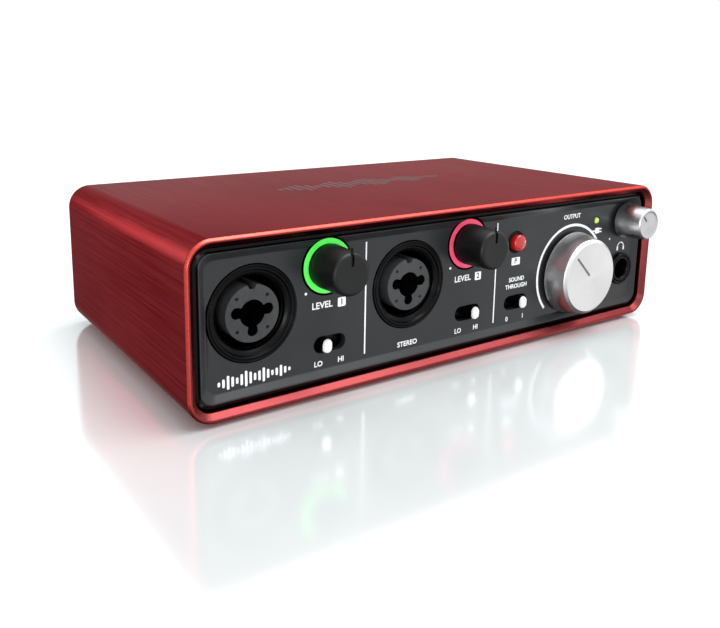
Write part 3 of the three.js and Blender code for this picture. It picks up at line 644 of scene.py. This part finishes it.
def make_combo_socket(number):
    """A round shell and the insert inside it, whose hole takes either kind of plug."""
    shell_node, insert_node = f"combo_shell_{number}", f"combo_insert_{number}"
    low, high, centre = span(shell_node)
    face = low.y
    floor_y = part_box(insert_node)[1].y + 0.3 * MM
    floor, rear = (floor_y - face) / MM, (high.y - face) / MM
    ring = turned_piece(f"combo_ring_{number}", profile(face, [
        (0, floor, 0), (9.4, floor, 0.2), (9.4, 2.6, 0.1), (9.75, 2.3, 0.1), (9.75, 1.3, 0.15),
        (10.55, 0.75, 0.12), (10.9, 0.75, 0.1), (11.25, 0.05, 0.2), (11.75, 0.05, 0.12),
        (11.8, 0.3, 0.08), (12, 0.3, 0.08), (12.05, 0, 0.1), (12.5, 0, 0.2), (12.5, rear, 0.2), (0, rear, 0),
    ], steps=3), centre, 96)
    place(ring, BLACK, replaces=[shell_node])

    hole = polar(clover(3.5 * MM, 1.5 * MM, 4.4 * MM, (8, 172, 270)))
    blind = [(hole, centre, wall_path(PANEL_Y, floor_y - 2.5 * MM, -0.25, 0.24))]
    dimple = profile(PANEL_Y, [(-0.12, 0, 0), (0, 0, 0.1), (0.2, 0.5, 0)])
    for degrees in (45, 135, 225, 315):
        angle = math.radians(degrees)
        aside = Vector((math.cos(angle), 0, math.sin(angle))) * 6 * MM
        blind.append((circle_about(0.5 * MM, 20), centre + aside, dimple))
    insert = Shell()
    insert.plate(polar(notched(7.5 * MM, 1.2 * MM, 1.2 * MM)),
                 wall_path(PANEL_Y, floor_y - 0.3 * MM, 0.3, 0.28), centre, blind=blind)
    core = insert.to_object(f"combo_core_{number}")
    place(core, INSERT, replaces=[insert_node])

    # Painted shade: the clover hole's walls are black, for the shade deep inside the hole.
    def in_hole(face):
        reach = math.hypot(face.center.x - centre.x, face.center.z - centre.z)
        return PANEL_Y + 0.4 * MM < face.center.y < floor_y - MM and reach < 6.3 * MM

    repaint(core, BLACK, in_hole)


def make_jack(node, name, outward, bushing):
    """A jack socket with its round bushing and the box behind it. outward is -1 if it opens to -y."""
    low, high, centre = span(node)
    mouth = low.y if outward < 0 else high.y
    root = (high.y - low.y) / MM
    jack = turned_piece(name, profile(mouth, [
        (0, root - 2.6, 0), (JACK_BORE, root - 2.6, 0.1), (JACK_BORE, 0.5, 0.1), (3.7, 0, 0.2),
        (bushing, 0, 0.25), (bushing, 7.3, 0.1), (bushing + 1, 7.3, 0.1), (bushing + 1, root, 0.2),
        (0, root, 0),
    ], -outward * MM, steps=3), centre)
    place(jack, BLACK, replaces=[node])


def make_round_nut():
    low, high, centre = span("phones_nut")
    outer, rear = (high.x - low.x) / 2 / MM, (high.y - low.y) / MM
    nut = turned_piece("phones_ring", profile(low.y, [
        (4.7, 0.1, 0.08), (outer - 0.35, 0, 0.12), (outer, 0.35, 0.15), (outer, rear, 0.05),
        (4.7, rear, 0.05),
    ], closed=True), centre, closed=True)
    slots = []
    reach = (outer + 1) * MM
    for degrees in (45, 135):
        slot = Shell()
        slot.box((-reach, low.y - MM, -0.4 * MM), (reach, low.y + 0.3 * MM, 0.4 * MM))
        cutter = slot.to_object("slot")
        cutter.data.transform(Matrix.Translation((centre.x, 0, centre.z))
                              @ Matrix.Rotation(math.radians(degrees), 4, "Y"))
        slots.append(cutter)
    carve(nut, slots)
    place(nut, BLACK, replaces=["phones_nut"])


def make_hex_nut(node):
    low, high, centre = span(node)
    corner = (high.x - low.x) / 2
    flat = corner * math.cos(math.radians(30))
    hexagon = polar(lambda a: flat / math.cos(a % (math.pi / 3) - math.pi / 6), 96)
    rear = (high.y - low.y) / MM
    edge = profile(high.y, [(0.5, 0, 0), (0, 0.4, 0.1), (0, rear, 0)], -MM)
    hole = profile(high.y, [(-0.3, 0, 0), (0, 0.3, 0.05), (0, rear, 0)], -MM)
    nut = Shell()
    nut.plate(hexagon, edge, centre, [(circle_about(4.9 * MM), centre, hole)])
    place(nut.to_object(f"{node}_hex"), NICKEL, replaces=[node])


def make_usb_socket():
    """A type B socket: a steel shell and a white core."""
    low, high, centre = span("usb_socket_shell")
    width, height = high.x - low.x, high.z - low.z
    wall = 0.5 * MM
    inside = rectangle_about(width - 2 * wall, height - 2 * wall, 0.4 * MM)
    mouth = wall_path(high.y, low.y + 0.6 * MM, -0.12, 0.11)
    shell = Shell()
    shell.plate(rectangle_about(width, height, 0.8 * MM), wall_path(high.y, low.y, 0.12, 0.11), centre,
                blind=[(inside, centre, mouth)])
    place(shell.to_object("usb_shell"), NICKEL, replaces=["usb_socket_shell"])

    low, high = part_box("usb_socket_core")

    def mouth_outline(inset):
        """A square with its two upper corners cut off."""
        half, top, cut = 4.22 * MM - inset, 3.89 * MM - inset, 1.6 * MM
        return [(half, -top), (half, top - cut), (half - cut, top), (cut - half, top), (-half, top - cut),
                (-half, -top)]

    mouth = wall_path(high.y, low.y + 3 * MM, -0.2, 0.18)
    core = Shell()
    core.plate(rectangle_about(high.x - low.x, high.z - low.z, 0.3 * MM),
               wall_path(high.y, low.y, 0.2, 0.18), centre, blind=[(mouth_outline, centre, mouth)])
    core.bar(rectangle_about(5.6 * MM, 3.2 * MM, 0.4 * MM),
             wall_path(high.y - MM, low.y + 2.9 * MM, 0.3, 0.28), centre)
    place(core.to_object("usb_core"), WHITE, replaces=["usb_socket_core"])


# ---- Knobs, switches and lights ----

POINTER_TURN = 45  # degrees that the monitor and headphone pointers stand left of the top


def make_halo(number, material):
    """A ring-shaped light guide, painted black everywhere but on its face."""
    node = f"halo_ring_{number}"
    low, high, centre = span(node)
    rear = (high.y - low.y) / MM
    halo = turned_piece(f"halo_{number}", profile(low.y, [
        (5.9, 0, 0.2), (7.4, 0, 0.2), (7.4, rear - 1, 0.05), (8.8, rear - 1, 0.1), (8.8, rear, 0.1),
        (4, rear, 0.1), (4, 1.4, 0.1), (5.9, 1.4, 0.1),
    ], closed=True), centre, 96, closed=True)
    place(halo, material, replaces=[node])
    repaint(halo, BLACK, lambda face: face.center.y > low.y + 0.12 * MM)


def make_knob(name, node, material, groove_shade_fill, rows, groove, turn=0):
    """A turned knob with a pointer groove whose floor is filled with a darker strip, painted shade in the
    groove. Its body has the node's name. groove is (width, depth, from, to) in mm, along the radius that
    stands turn degrees left of the top."""
    centre = middle(node)
    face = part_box(node)[0].y
    knob = turned_piece(name, profile(face, rows), ORIGIN, 120)
    width, deep, start, end = (value * MM for value in groove)
    halfway = Vector((0, 0, (start + end) / 2))
    stand = Matrix.Rotation(math.radians(-turn), 4, "Y")
    move = Matrix.Translation((centre.x, 0, centre.z))
    cutter = Shell()
    cutter.bar(rectangle_about(width, end - start, 0.45 * width), [(0, face - MM), (0, face + deep)], halfway)
    groove_tool = cutter.to_object("groove")
    groove_tool.data.transform(stand)
    carve(knob, [groove_tool])
    knob.data.transform(move)
    place(knob, material, node, replaces=[node])

    # Painted shade: a darker strip lies on the groove's floor.
    floor = face + deep
    fill = Shell()
    fill.bar(rectangle_about(width * 0.86, end - start - width * 0.14, 0.4 * width),
             [(0, floor - 0.06 * MM), (0, floor + 0.05 * MM)], halfway)
    line = fill.to_object(f"{name}_line")
    line.data.transform(move @ stand)
    place(line, groove_shade_fill, node)


def hollow_back(root, rim, well, boss):
    """The rest of a knob's rows: its rim's rear edge, the hollow behind, and the boss with its bore."""
    bore = 3.3
    return [(rim, root, 0.1), (rim - 0.1, well, 0.2), (boss, well, 0.2), (boss, root, 0.1),
            (bore, root, 0.1), (bore, well - 0.4, 0.05), (0, well - 0.4, 0)]


def make_knobs():
    root = 10.4  # mm from a knob's face to its rear edge
    for channel in CHANNELS:
        make_knob(f"gain_cap_{channel}", f"gain_knob_{channel}", KNOB, BLACK, [
            (0, 0.12, 0), (2.5, 0.1, 0.6), (4.9, 0, 0.7), (5.62, 0.55, 0.5), (6.1, root, 0.25),
            *hollow_back(root, 5, 3.6, 4.3),
        ], (0.9, 0.5, 2.2, 7))
    root = 7.4
    silver = turned_metal("monitor_silver", (0.84, 0.84, 0.85), (0.94, 0.94, 0.95), 0.3,
                          middle("monitor_knob"))
    make_knob("monitor_dial", "monitor_knob", silver, POINTER, [
        (0, 0.06, 0), (6, 0.04, 1), (11.1, 0.02, 0.12), (11.25, 0, 0.06), (12.2, 0.75, 0.22),
        (13.6, root, 0.25), *hollow_back(root, 12, 2.6, 4.6),
    ], (0.8, 0.4, 0.8, 10), POINTER_TURN)
    root = 9.2
    silver = turned_metal("phones_silver", (0.6, 0.6, 0.61), (0.74, 0.74, 0.75), 0.3,
                          middle("phones_knob"))
    make_knob("phones_dial", "phones_knob", silver, POINTER, [
        (0, 0.42, 0), (3.2, 0.4, 0.6), (4.1, 0.25, 0.4), (4.4, 0, 0.12), (4.8, 0, 0.15), (5.2, 0.5, 0.2),
        (6.1, root, 0.25), *hollow_back(root, 5, 3.8, 4.3),
    ], (0.7, 0.8, 1.4, 4.1), POINTER_TURN)


def domed(reach, rise, angles):
    """Points (reach * sin, rise * (1 - cos)) of a dome's section, at angles in degrees."""
    return [(reach * math.sin(a), rise * (1 - math.cos(a))) for a in map(math.radians, angles)]


def make_switch_cap(node, body):
    """A slide cap with a white rounded end and sides painted black as shade, and a black shutter, painted
    shade for the slot's inside, that moves with it.
    """
    low, high, centre = span(node)
    width, height = high.x - low.x, high.z - low.z
    half = width / 2
    dome = [(half - reach, low.y + rise) for reach, rise in domed(half, 1.1 * MM, range(10, 100, 10))]
    shell = Shell()
    shell.bar(rectangle_about(width, height, half), [*dome, (0, behind(6.4))], centre)
    cap = shell.to_object(f"{node}_tip")
    place(cap, BLACK, body, replaces=[node])
    # Painted shade: only the rounded end is white, and the black sides stand for the shade that falls on
    # them.
    repaint(cap, GLOSS_WHITE, lambda face: face.center.y < low.y + 1.05 * MM)
    # Painted shade: the black shutter behind the slot stands in for the shade inside it.
    shade_shutter = Shell()
    shade_shutter.bar(rectangle_about(16 * MM, 5.6 * MM, 0.5 * MM), profile(FRONT_Y, [
        (0.1, 6.42, 0), (0, 6.42, 0.09), (0, 7.2, 0.09), (0.1, 7.2, 0),
    ]), centre)
    place(shade_shutter.to_object(f"{node}_shutter"), BLACK, body)


def make_button():
    """The lit button, its flange behind the fascia and its stem, and a thin collar on the fascia."""
    low, high, centre = span("phantom_button")
    radius, flange, stem = 2.6 * MM, 3.4 * MM, 1.2 * MM
    dome = [(reach, low.y + rise) for reach, rise in domed(radius, 1.1 * MM, range(9, 99, 9))]
    lens = turned_piece("phantom_lens", [
        (0, low.y), *dome, (radius, behind(6)), (flange, behind(6)), (flange, behind(6.8)),
        (stem, behind(6.8)), (stem, high.y), (0, high.y),
    ], centre, 64)
    place(lens, BUTTON_RED, "phantom_button", replaces=["phantom_button"], sharp=50)

    bezel = turned_piece("phantom_bezel", profile(PANEL_Y, [
        (2.85, -0.45, 0.1), (3.25, -0.45, 0.2), (3.55, -0.02, 0.1), (2.85, -0.02, 0.02),
    ], closed=True), centre, 64, closed=True)
    place(bezel, BLACK)


def make_light_pipe():
    low, high, centre = span("usb_light_pipe")
    radius, flange = MM, 1.7 * MM
    pipe = turned_piece("usb_light", [
        (0, low.y), (0.5 * MM, low.y + 0.03 * MM), (0.82 * MM, low.y + 0.12 * MM),
        (radius, low.y + 0.4 * MM), (radius, behind(5.7)), (flange, behind(5.7)), (flange, behind(6.5)),
        (radius, behind(6.5)), (radius, high.y), (0, high.y),
    ], centre, 40)
    place(pipe, SMALL_LIGHT, replaces=["usb_light_pipe"])


# ---- Printed and etched marks ----

CAPTION = 1.45  # letter height in mm
CAPTION_Z = 7.6  # the switches' captions
CHANNEL_Z = 23.7  # the gain knobs' labels
BUTTON_LABEL_Z = 26.1
PLUG_Z = 31.6
MONITOR_SWITCH_X = 24.6
DIVIDERS = (-34.0, 15.2)  # the lines to the right of each channel
LEVELS = [1.2, 2.2, 3.6, 2.6, 1.6, 2.9, 4.1, 3.1, 1.9, 2.6, 3.7, 2.4, 1.4, 2.0, 3.0, 1.8, 1.0]
WAVE = [3, 5.5, 9, 12, 8, 4.5, 7, 11, 14.5, 10, 6, 9, 13, 15, 11.5, 7, 4.5, 8, 12, 9.5, 5.5, 3.5, 5, 2.5]


class Marks:
    """Thin printed shapes on the fascia's flat face, in mm from the sleeve's middle and its underside."""

    def __init__(self, front=PANEL_Y - SKIN):
        self.shell = Shell()
        self.front = front
        self.rear = PANEL_Y + SKIN

    def shape(self, outline):
        points = [(x * MM, SLEEVE_LOW.z + z * MM) for x, z in outline]
        self.shell.bar(lambda inset: points, [(0, self.front), (0, self.rear)])

    def box(self, x, z, width, height, radius=0.0):
        if radius:
            self.shape(shifted(rounded_rectangle(width, height, radius, 5), x, z))
        else:
            w, h = width / 2, height / 2
            self.shape([(x + w, z + h), (x - w, z + h), (x - w, z - h), (x + w, z - h)])

    def dot(self, x, z, radius):
        self.shape(shifted(circle(radius, 24), x, z))

    def stroke(self, start, end, width):
        along = (Vector(end) - Vector(start)).normalized() * width / 2
        side = Vector((-along.y, along.x))
        a, b = Vector(start) - along * 0.3, Vector(end) + along * 0.3
        self.shape([tuple(a - side), tuple(b - side), tuple(b + side), tuple(a + side)])

    def arc(self, x, z, radius, width, start, end, steps):
        """A band of the given width, from start to end in degrees anticlockwise from the right."""
        angles = [math.radians(start + (end - start) * i / steps) for i in range(steps + 1)]
        inner, outer = radius - width / 2, radius + width / 2
        rim = [(x + outer * math.cos(a), z + outer * math.sin(a)) for a in angles]
        self.shape(rim + [(x + inner * math.cos(a), z + inner * math.sin(a)) for a in reversed(angles)])

    def text(self, words, x, z, height=CAPTION):
        """Sans-serif capitals or figures whose middle is at (x, z)."""
        capital = 0.7  # a capital's height as a share of the font's size
        curve = bpy.data.curves.new("words", "FONT")
        curve.body = words
        curve.align_x = "CENTER"
        curve.align_y = "CENTER"
        curve.resolution_u = 3
        curve.size = height / capital * MM
        curve.offset = 0.03 * height * MM
        curve.extrude = (self.rear - self.front) / 2
        letters = linked("words", curve)
        mesh = evaluated_mesh(letters)
        place_at = (x * MM, (self.front + self.rear) / 2, SLEEVE_LOW.z + z * MM)
        mesh.transform(Matrix.Translation(place_at) @ Matrix.Rotation(math.radians(90), 4, "X"))
        self.shell.mesh.from_mesh(mesh)
        bpy.data.objects.remove(letters)

    def finish(self, name, material):
        bmesh.ops.remove_doubles(self.shell.mesh, verts=self.shell.mesh.verts, dist=1e-7)
        place(self.shell.to_object(name), material)


def panel_place(node):
    """A node's middle in a mark's units."""
    centre = middle(node)
    return centre.x / MM, (centre.z - SLEEVE_LOW.z) / MM


def make_panel_marks():
    ink = Marks()
    dark = Marks(PANEL_Y - 1.6 * SKIN)  # figures printed on the boxes
    for x in DIVIDERS:
        ink.box(x, 23.3, width=0.42, height=31.6)
    for channel in CHANNELS:
        x, z = panel_place(f"gain_knob_{channel}")
        for degrees in (225, 315):
            a = math.radians(degrees)
            ink.dot(x + 9.4 * math.cos(a), z + 9.4 * math.sin(a), 0.38)
        ink.text("LEVEL", x - 1.6, CHANNEL_Z, 1.75)
        ink.box(x + 4.6, CHANNEL_Z, 2.5, 2.5, 0.3)
        dark.text(str(channel), x + 4.6, CHANNEL_Z, 1.7)
        x = panel_place(f"level_switch_body_{channel}")[0]
        ink.text("LO", x - 3.6, CAPTION_Z)
        ink.text("HI", x + 3.6, CAPTION_Z)
    # The button's label, and the monitor switch's.
    x = panel_place("phantom_button")[0]
    ink.box(x + 0.2, BUTTON_LABEL_Z, 3.6, 2.4, 0.3)
    dark.text("P", x + 0.2, BUTTON_LABEL_Z, 1.6)
    ink.text("SOUND", MONITOR_SWITCH_X, 20.2, 1.35)
    ink.text("THROUGH", MONITOR_SWITCH_X, 18.0, 1.35)
    ink.text("0", MONITOR_SWITCH_X - 3.5, CAPTION_Z)
    ink.text("1", MONITOR_SWITCH_X + 3.6, CAPTION_Z)
    # The output knob's label and its scale.
    x, z = panel_place("monitor_knob")
    ink.text("OUTPUT", x - 0.6, 37.7)
    ink.arc(x, z, 15.7, 0.85, -42, 222, 96)
    # The plug picture under the small light, and the headphone picture over the socket.
    x = panel_place("usb_light_pipe")[0]
    ink.box(x + 0.4, PLUG_Z, 2.2, 1.9, 0.3)
    ink.stroke((x - 2.2, PLUG_Z), (x - 0.6, PLUG_Z), 0.45)
    for side in (-1, 1):
        ink.stroke((x + 1.4, PLUG_Z + side * 0.5), (x + 2.6, PLUG_Z + side * 0.5), 0.4)
    x = panel_place("phones_nut")[0]
    ink.arc(x, 24.3, 1.7, 0.34, 10, 170, 24)
    for side in (-1, 1):
        ink.box(x + side * 1.65, 24.0, 0.75, 1.5, 0.25)
        ink.dot(x + side * 6.3, 27.9, 0.32)
    # Level bars at the lower left, and a caption under the second socket.
    for i, tall in enumerate(LEVELS):
        ink.box(-78.0 + i * 1.25, 8.4, 0.68, tall, 0.3)
    ink.text("STEREO", panel_place("combo_shell_2")[0], CAPTION_Z)
    ink.finish("panel_print", INK)
    dark.finish("panel_print_dark", DARK_INK)


def make_top_mark():
    """A waveform of bars etched into the top of the sleeve, running across it."""
    shell = Shell()
    top = SLEEVE_HIGH.z - SKIN
    first, pitch, width = -31.0, 2.85, 1.5  # mm
    for i, length in enumerate(WAVE):
        outline = rounded_rectangle(width * MM, length * MM, 0.7 * MM, 6)
        points = shifted(outline, (first + i * pitch) * MM, behind(54.5))
        rings = [[shell.mesh.verts.new((x, y, z)) for x, y in points] for z in (top - SKIN, top + 0.8 * SKIN)]
        shell.walls(rings)
        for ring in rings:
            shell.mesh.faces.new(ring)
    place(shell.to_object("top_etching"), ETCHED)


# ---- Assembly ----

make_sleeve()
make_fascia()
make_rear_plate()
for corner in CORNERS:
    make_rear_screw(f"rear_screw_{corner}")
    make_foot(f"foot_{corner}")
for channel in CHANNELS:
    make_combo_socket(channel)
    make_jack(f"line_out_jack_{channel}", f"line_out_{channel}", 1, LINE_BUSHING)
    make_hex_nut(f"line_out_nut_{channel}")
    make_switch_cap(f"level_switch_cap_{channel}", f"level_switch_{channel}")
make_switch_cap("monitor_switch_cap", "monitor_switch")
make_halo(1, GREEN_LIGHT)
make_halo(2, RED_LIGHT)
make_knobs()
make_button()
make_light_pipe()
make_jack("phones_socket", "phones_jack", -1, PHONES_BUSHING)
make_round_nut()
make_usb_socket()
make_panel_marks()
make_top_mark()

# The pieces behind the fascia keep their CAD shapes. These are the starts of their names.
CARRIED_OVER = [
    # Painted shade: the front subplate is dark so that it stands in for the shade behind the fascia's
    # openings.
    (BLACK_SCREW_AND_SHADE, ("front_subplate",)),
    (STEEL, ("front_screw_", "gain_shaft_", "monitor_shaft", "phones_shaft", "level_switch_body_",
             "monitor_switch_body")),
    (NICKEL, ("gain_pot_", "monitor_pot", "phones_pot")),
    (CHIP, ("phantom_switch_body", "board_header", "usb_chip", "converter_chip", "power_inductor")),
    (BOARD, ("front_board", "main_board")),
    (CAN, ("capacitor_",)),
]
for material, starts in CARRIED_OVER:
    for name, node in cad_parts.items():
        if name.startswith(starts):
            node.data.materials.clear()
            node.data.materials.append(material)


# ---- Floor, lights and camera ----

FLOOR_REACH = 6
SENSOR = 36
LENS = 38.373
CAMERA_SHIFT = (0.05033, -0.13494)
CAMERA_PLACE = (-0.153294, -0.203804, 0.085618)
CAMERA_YAW, CAMERA_PITCH, CAMERA_ROLL = 0.5791, 0.1913, 0.0076  # radians


def make_floor():
    """A matt white floor under a thin polish. The object's own reflections leave it out."""
    mesh = bpy.data.meshes.new("floor")
    grid = bmesh.new()
    bmesh.ops.create_grid(grid, x_segments=2, y_segments=2, size=FLOOR_REACH)
    grid.to_mesh(mesh)
    grid.free()
    floor = linked("floor", mesh)
    made = Finish("floor_white", 0.5)
    clouds = add_ramp(made.tree, made.noise((3, 3, 3), 3), (0.86, 0.9, 0.91), (0.88, 0.92, 0.93), (0, 1))
    matt = made.node("ShaderNodeBsdfDiffuse", Color=clouds)
    gloss = made.node("ShaderNodeBsdfGlossy", Color=(0.92, 0.99, 1, 1), Roughness=0.14)
    polish = made.node("ShaderNodeMixShader", values=(0.44, matt.outputs["BSDF"], gloss.outputs["BSDF"]))
    made.tree.links.new(polish.outputs["Shader"], made.tree.nodes["Material Output"].inputs["Surface"])
    made.tree.nodes.remove(made.shader)
    mesh.materials.append(made.material)
    floor.visible_glossy = False


def make_light(name, place_at, target, size, watts):
    """A rectangular lamp that the camera doesn't see."""
    lamp = bpy.data.lights.new(name, "AREA")
    lamp.shape = "RECTANGLE"
    lamp.size, lamp.size_y = size
    lamp.energy = watts
    made = linked(name, lamp)
    made.location = place_at
    made.rotation_euler = (Vector(target) - Vector(place_at)).to_track_quat("-Z", "Y").to_euler()
    made.visible_camera = False


def make_sun(strength, towards, spread):
    """A very soft key light from the direction towards, as even over the floor as over the object."""
    sun = bpy.data.lights.new("soft_sun", "SUN")
    sun.energy = strength
    sun.angle = math.radians(spread)
    linked("soft_sun", sun).rotation_euler = Vector(towards).to_track_quat("Z", "Y").to_euler()


def make_world():
    """White to the camera. To everything else, a room that is white to the right, dimmer to the left, a
    little dimmer in front and nearly dark below."""
    world = bpy.data.worlds.new("studio")
    bpy.context.scene.world = world
    world.use_nodes = True
    tree = world.node_tree
    tree.nodes.clear()
    direction = add_node(tree, "ShaderNodeTexCoord").outputs["Generated"]
    toward = add_node(tree, "ShaderNodeVectorMath", "DOT_PRODUCT", (direction, (0.9, -0.3, 0.3)))
    share = add_range(tree, toward.outputs["Value"], -1, 1)
    colour = add_ramp(tree, share, (0.6, 0.6, 0.605), (1, 1, 1), (0.2, 0.45))
    split = add_node(tree, "ShaderNodeSeparateXYZ", Vector=direction)
    front = add_range(tree, split.outputs["Y"], -0.75, 0.1, 0.9, 1.0)
    below = add_range(tree, split.outputs["Z"], -0.75, -0.35, 0.1, 1.0)
    strength = add_node(tree, "ShaderNodeMath", "MULTIPLY", (front, below)).outputs["Value"]
    room = add_node(tree, "ShaderNodeBackground", Color=colour, Strength=strength)
    seen = add_node(tree, "ShaderNodeBackground", Color=(1, 1, 1, 1), Strength=1.0)
    path = add_node(tree, "ShaderNodeLightPath")
    mix = add_node(tree, "ShaderNodeMixShader", values=(
        path.outputs["Is Camera Ray"], room.outputs["Background"], seen.outputs["Background"]))
    add_node(tree, "ShaderNodeOutputWorld", Surface=mix.outputs["Shader"])


def make_camera():
    """The camera stands to the left of the front and looks slightly down."""
    level = math.cos(CAMERA_PITCH)
    forward = Vector((math.sin(CAMERA_YAW) * level, math.cos(CAMERA_YAW) * level, -math.sin(CAMERA_PITCH)))
    right = forward.cross(Vector((0, 0, 1))).normalized()
    up = right.cross(forward)
    turned_right = right * math.cos(CAMERA_ROLL) + up * math.sin(CAMERA_ROLL)
    turned_up = up * math.cos(CAMERA_ROLL) - right * math.sin(CAMERA_ROLL)
    lens = bpy.data.cameras.new("camera")
    lens.lens = LENS
    lens.sensor_width = SENSOR
    lens.shift_x, lens.shift_y = CAMERA_SHIFT
    lens.clip_start = 0.01
    made = linked("camera", lens)
    facing = Matrix((turned_right, turned_up, -forward)).transposed()
    made.matrix_world = Matrix.Translation(CAMERA_PLACE) @ facing.to_4x4()
    bpy.context.scene.camera = made


make_floor()
make_world()
make_sun(strength=1.85, towards=(0.35, -0.3, 1.0), spread=50)
make_light("top_softbox", (0.1, 0.0, 0.7), (0, 0, 0), (0.5, 0.4), 1.6)
make_light("left_softbox", (-0.38, -0.42, 0.06), (0, -0.05, 0.02), (0.2, 0.1), 0.7)
make_light("side_softbox", (-0.22, 0.25, 0.1), (-0.0875, -0.04, 0.025), (0.08, 0.1), 0.1)
make_camera()
bpy.context.scene.view_settings.view_transform = "Standard"
